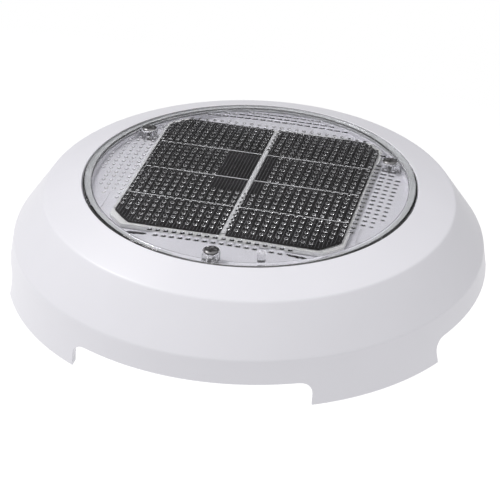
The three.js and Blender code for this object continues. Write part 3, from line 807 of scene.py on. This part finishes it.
def cell_fingers(index):
    """Silver fingers along Y on one cell."""
    low, high = box_mm(f"solar_cell_{index}")
    surface = Surface()
    count = int((high.x - low.x) / FINGER_PITCH)
    for k in range(count):
        x = (low.x + high.x) / 2 + (k - (count - 1) / 2) * FINGER_PITCH
        reach = math.sqrt(CELL_CORNER_R ** 2 - x ** 2)
        y0, y1 = max(low.y + FINGER_INSET, PANEL_Y - reach), min(high.y - FINGER_INSET, PANEL_Y + reach)
        half = FINGER_WIDTH / 2
        flat_bar(surface, x - half, x + half, y0, y1, CELL_TOP, CELL_TOP + FINGER_HIGH)
    make_piece(f"cell_fingers_{index}", surface, "finger", "cover")


def panel_lines():
    """Light strips between the rows of cells and along the left and back edges of the panel."""
    surface = Surface()
    top = CELL_TOP + FINGER_HIGH
    low, high = box_mm("solar_cell_1")[0], box_mm("solar_cell_8")[1]
    gap = box_mm("solar_cell_5")[0].x
    for y in (PANEL_Y - ROW_STEP, PANEL_Y, PANEL_Y + ROW_STEP):
        for x0, x1 in ((low.x + 1, -gap), (gap, high.x - 1)):
            flat_bar(surface, x0, x1, y - LINE_HALF, y + LINE_HALF, CELL_TOP - 0.45, top)
    under = CELL_TOP - 0.8
    left0, left1 = PANEL_Y - LEFT_LINE_HALF, PANEL_Y + LEFT_LINE_HALF
    flat_bar(surface, low.x - EDGE_FAR, low.x - EDGE_NEAR, left0, left1, under, top)
    flat_bar(surface, gap + 0.5, BACK_LINE_TO, high.y + EDGE_NEAR, high.y + EDGE_FAR, under, top)
    piece = make_piece("panel_lines", surface, "print", "cover")
    return soften(piece, 0.04, 2)


# ---- screws ----

HEAD_SEAT_Z = 46.9
LENS_SHANK_R = 1.35
SHANK_R = 1.15
PAN_HIGH = 1.5
SCREW_SEGMENTS = 48


def cross_screw(name, node, head_high, shank_r, up, material, body):
    """A pan head screw with a cross recess, in place of a CAD screw; up is 1 for a head on top, else -1."""
    low, high = box_mm(node)
    x, y = (low.x + high.x) / 2, (low.y + high.y) / 2
    head_z = high.z - head_high if up > 0 else low.z + head_high
    head_r, length = (high.x - low.x) / 2, high.z - low.z - head_high
    arm, reach, deep = 0.5, head_r * 0.62, head_high * 0.55
    surface = Surface()
    rings = []
    for share in (0.12, 0.3, 0.45, 0.6, 0.75, 0.88, 0.97, 1.0):
        points = []
        for a in full_turn(SCREW_SEGMENTS):
            r = head_r * share
            dx, dy = r * math.cos(a), r * math.sin(a)
            z = head_high * math.sqrt(max(0.0, 1 - (share * 0.92) ** 2.6))
            if min(abs(dx), abs(dy)) < arm and r < reach:
                z -= deep * (1 - 0.5 * r / reach)
            points.append((x + dx, y + dy, head_z + up * z))
        rings.append(surface.row(points))
    surface.fan(rings[0], (x, y, head_z + up * (head_high - deep)))
    below = [(head_r, 0.12), (head_r - 0.1, 0.0), (shank_r, 0.0)]
    below += [(shank_r, shank_r - length), (0.3, -length)]
    for r, z in below:
        rings.append(surface.row(ring_points(r, head_z + up * z, full_turn(SCREW_SEGMENTS), (x, y))))
    surface.strips(rings, True)
    surface.fan(rings[-1], (x, y, head_z - up * length))
    make_piece(name, surface, material, body, 40, (node,))


def all_screws():
    """Lens screws from above, motor and battery tray screws from below, and the shutter knob's screw."""
    lens_head = box_mm("lens_screw_1")[1].z - HEAD_SEAT_Z
    for i in range(1, 4):
        cross_screw(f"lens_screw_fine_{i}", f"lens_screw_{i}", lens_head, LENS_SHANK_R, 1, "screw", "cover")
    for node in ("motor_screw_1", "motor_screw_2", "motor_screw_3", "tray_screw_1", "tray_screw_2"):
        cross_screw(f"{node}_fine", node, PAN_HIGH, SHANK_R, -1, "steel", "cover")
    cross_screw("knob_screw_fine", "knob_screw", PAN_HIGH, SHANK_R, 1, "steel", "shutter")


# ---- fan ----

BLADES = 5


def fan_rotor():
    """Hub cup and five twisted, cambered blades."""
    hub_under, hub_top, hub_r = 14.0, 23.6, 14.0
    outside = [(1.25, hub_under), (11.9, hub_under), (12.7, hub_under + 0.1), (13.5, hub_under + 0.6),
               (13.9, hub_under + 1.3), (hub_r, hub_under + 2.2), (hub_r, hub_top - 0.4),
               (hub_r - 0.4, hub_top)]
    inside = [(hub_r - 1.3, hub_top), (hub_r - 1.6, hub_top - 0.4), (hub_r - 1.6, hub_under + 2.4),
              (hub_r - 2.2, hub_under + 1.8), (3.9, hub_under + 1.8), (3.4, hub_under + 2.3), (3.2, 22.4),
              (1.25, 22.4)]
    hub = lathe(outside + inside)
    blades = Surface()
    for k in range(BLADES):
        blades.add(fan_blade(360 / BLADES * k, hub_r - 0.6, (hub_under + hub_top) / 2))
    make_piece("fan_hub", hub, "fan", "fan", 40, ("fan_rotor",))
    make_piece("fan_blades", blades, "fan", "fan", 50)


def fan_blade(degrees, start, middle):
    """One blade from its root inside the hub to the fan's full radius, flatter and wider towards the tip."""
    surface = Surface()
    stations, around = 14, 24
    chord, thick, camber = 20.0, 1.4, 2.2
    turn = Matrix.Rotation(math.radians(degrees), 3, "Z")
    rows = []
    for s in range(stations + 1):
        along = s / stations
        r = start + (FAN_R - start) * along
        pitch = math.radians(34 - 16 * along)
        width = chord * (0.72 + 0.28 * along) * (1 - 0.10 * max(0.0, along - 0.85) / 0.15)
        points = []
        for i in range(around):
            a = 2 * math.pi * i / around
            u = math.cos(a)
            y = width / 2 * u
            z = camber * (1 - u * u) + thick / 2 * math.sin(a) * (1 - 0.55 * u) * (1 - 0.4 * along)
            y, z = y * math.cos(pitch) - z * math.sin(pitch), y * math.sin(pitch) + z * math.cos(pitch)
            x = min(r, math.sqrt(FAN_R ** 2 - y * y))
            points.append(turn @ Vector((x, y, middle + z - camber / 2)))
        rows.append(surface.row([tuple(p) for p in points]))
    surface.strips(rows, True)
    surface.faces.append(tuple(rows[0]))
    surface.faces.append(tuple(reversed(rows[-1])))
    return surface


# ---- insect screen ----

WIRE_PITCH = 2.0
WIRE_R = 0.17
SCREEN_IN = 48.6


def woven_wire(surface, offset, direction, phase, middle_z):
    """One wire of the weave, over and under the wires that cross it."""
    half = math.sqrt(max(0.0, SCREEN_IN ** 2 - offset ** 2))
    steps = max(2, int(2 * half / (WIRE_PITCH / 2)))
    rows = []
    for i in range(steps + 1):
        along = -half + 2 * half * i / steps
        lift = WIRE_R * math.cos(math.pi * (along / WIRE_PITCH + phase))
        ring = []
        for k in range(4):
            a = math.pi / 2 * k + math.pi / 4
            side, up = WIRE_R * math.cos(a), WIRE_R * math.sin(a)
            if direction == 0:
                ring.append((along, offset + side, middle_z + lift + up))
            else:
                ring.append((offset + side, along, middle_z + lift + up))
        rows.append(surface.row(ring))
    surface.strips(rows, True)
    surface.faces.append(tuple(rows[0]))
    surface.faces.append(tuple(reversed(rows[-1])))


def insect_screen():
    low, high = box_mm("insect_screen")
    middle = (low.z + high.z) / 2
    weave = Surface()
    count = int(SCREEN_IN / WIRE_PITCH)
    for k in range(-count, count + 1):
        woven_wire(weave, k * WIRE_PITCH, 0, k, middle)
        woven_wire(weave, k * WIRE_PITCH, 1, k + 1, middle)
    make_piece("insect_screen_weave", weave, "steel", "deck", 80,
               ("insect_screen",))
    outer = high.x
    rim = lathe([(SCREEN_IN - 0.6, low.z), (outer, low.z), (outer, high.z), (SCREEN_IN - 0.6, high.z)], 96)
    make_piece("insect_screen_rim", rim, "steel", "deck")


# ---- carried-over CAD pieces with softened edges ----

CARRIED = {
    "deck_ring": ("inner", 0.5), "twist_collar": ("inner", 0.5), "throat_plate": ("inner", 0.3),
    "shutter_disc": ("inner", 0.3), "shutter_knob": ("inner", 0.5), "screen_ring": ("inner", 0.3),
    "motor_cup": ("inner", 0.3), "battery_tray": ("inner", 0.4), "battery_door": ("inner", 0.3),
    "lens_seal": ("grey_seal", 0.15), "base_gasket": ("foam", 0.3), "panel_board": ("board", 0.25),
    "center_ribbon": ("print", 0.05), "battery_contact": ("tin", 0.1), "motor_can": ("steel", 0.25),
    "motor_shaft": ("steel", 0.1), "fan_clip": ("steel", 0.15), "battery_spring": ("steel", 0),
    "motor_magnet": ("magnet", 0.2), "motor_bush": ("brass", 0.15), "armature": ("copper", 0.2),
    "motor_end_cap": ("black", 0.25), "switch_body": ("black", 0.35), "battery": ("sleeve", 0),
    "switch_slider": ("red", 0.4),
}


def carried_nodes():
    """Materials, welded vertices and softened edges for the CAD nodes that are shown as they are."""
    looks = dict(CARRIED)
    for i in range(1, 9):
        looks[f"solar_cell_{i}"] = ("cell", 0.06)
    for use in ("motor", "battery", "panel"):
        looks[f"{use}_lead_red"] = ("lead_red", 0)
        looks[f"{use}_lead_black"] = ("lead_black", 0)
    for node, (material, width) in looks.items():
        piece = nodes[node]
        piece.data.materials.clear()
        piece.data.materials.append(MATERIALS[material])
        for polygon in piece.data.polygons:
            polygon.use_smooth = True
        weld = piece.modifiers.new("weld", "WELD")
        weld.merge_threshold = 2e-6
        if width:
            soften(piece, width, 2, 40)


# ---- stage ----

# The camera looks past the origin from far off; the card is a dark patch of sky that the lens mirrors.
VIEW_AZ, VIEW_EL, VIEW_ROLL = 13.58, 30.94, 1.45
VIEW_DISTANCE = 822.8
VIEW_OFFSET = (0.88, 8.33)
VIEW_LENS = 128.96
KEY_FROM = Vector((-0.56, 0.10, 0.82)).normalized()
KEY_POWER = 7.3
KEY_SIZE = 0.45
KEY_DISTANCE = 1.6
SKY_ALL, SKY_UP, SKY_LEFT, SKY_LOW = 0.08, 1.04, 0.16, 1.0
CARD_AT = (-0.2, 0.83, 0.52)
CARD_EDGE = (0.70, 0.92)
CARD_DARK = 0.9


def add_camera():
    azimuth, elevation, roll = (math.radians(v) for v in (VIEW_AZ, VIEW_EL, VIEW_ROLL))
    back = Vector((math.sin(azimuth) * math.cos(elevation), -math.cos(azimuth) * math.cos(elevation),
                   math.sin(elevation)))
    level = (-back).cross(Vector((0, 0, 1))).normalized()
    rise = level.cross(-back)
    right = level * math.cos(roll) + rise * math.sin(roll)
    up = rise * math.cos(roll) - level * math.sin(roll)
    data = bpy.data.cameras.new("camera")
    data.lens = VIEW_LENS
    data.sensor_width = 36
    data.clip_start = 0.01
    camera = bpy.data.objects.new("camera", data)
    bpy.context.scene.collection.objects.link(camera)
    place = Matrix((right, up, back)).transposed().to_4x4()
    place.translation = (back * VIEW_DISTANCE + right * VIEW_OFFSET[0] + up * VIEW_OFFSET[1]) * MM
    camera.matrix_world = place
    bpy.context.scene.camera = camera


def sky_lobe(tree, coordinates, direction, start, end, strength):
    """Strength that rises smoothly as a sky direction turns towards a given one."""
    towards = add_node(tree, "ShaderNodeVectorMath", operation="DOT_PRODUCT")
    towards.inputs[1].default_value = Vector(direction).normalized()
    tree.links.new(coordinates.outputs["Generated"], towards.inputs[0])
    span = add_node(tree, "ShaderNodeMapRange", interpolation_type="SMOOTHSTEP")
    span.inputs["From Min"].default_value = start
    span.inputs["From Max"].default_value = end
    span.inputs["To Min"].default_value = 0.0
    span.inputs["To Max"].default_value = strength
    tree.links.new(towards.outputs["Value"], span.inputs["Value"])
    return span.outputs["Result"]


def joined(tree, operation, first, second):
    maths = add_node(tree, "ShaderNodeMath", operation=operation)
    for socket, value in zip(maths.inputs, (first, second)):
        if isinstance(value, (int, float)):
            socket.default_value = value
        else:
            tree.links.new(value, socket)
    return maths.outputs["Value"]


def add_sky():
    """A soft studio sky with a dark card behind the object; seen directly it is plain white."""
    world = bpy.data.worlds.new("studio")
    bpy.context.scene.world = world
    world.use_nodes = True
    tree = world.node_tree
    coordinates = add_node(tree, "ShaderNodeTexCoord")
    light = sky_lobe(tree, coordinates, (0, 0, 1), -0.2, 1.0, SKY_UP)
    light = joined(tree, "ADD", light, sky_lobe(tree, coordinates, (-1, 0, 0.1), -0.3, 1.0, SKY_LEFT))
    light = joined(tree, "ADD", light, sky_lobe(tree, coordinates, (0, 0, -1), -0.2, 0.6, SKY_LOW))
    light = joined(tree, "ADD", light, SKY_ALL)
    card = sky_lobe(tree, coordinates, CARD_AT, *CARD_EDGE, CARD_DARK)
    light = joined(tree, "MULTIPLY", light, joined(tree, "SUBTRACT", 1.0, card))
    path = add_node(tree, "ShaderNodeLightPath")
    light = joined(tree, "MAXIMUM", light, path.outputs["Is Camera Ray"])
    tree.links.new(light, tree.nodes["Background"].inputs["Strength"])
    tree.nodes["Background"].inputs["Color"].default_value = (1, 1, 1, 1)


def add_key_light():
    data = bpy.data.lights.new("key", "AREA")
    data.shape = "DISK"
    data.size = KEY_SIZE
    data.energy = KEY_POWER
    lamp = bpy.data.objects.new("key", data)
    bpy.context.scene.collection.objects.link(lamp)
    lamp.location = KEY_FROM * KEY_DISTANCE
    lamp.rotation_euler = KEY_FROM.to_track_quat("Z", "Y").to_euler()


def add_stage():
    add_camera()
    add_sky()
    add_key_light()
    bpy.context.scene.view_settings.view_transform = "Standard"


# ---- assembly ----

add_stage()
cover_shell()
cover_underside()
dome_lens()
for cell in range(1, 9):
    cell_fingers(cell)
panel_lines()
all_screws()
fan_rotor()
insect_screen()
carried_nodes()
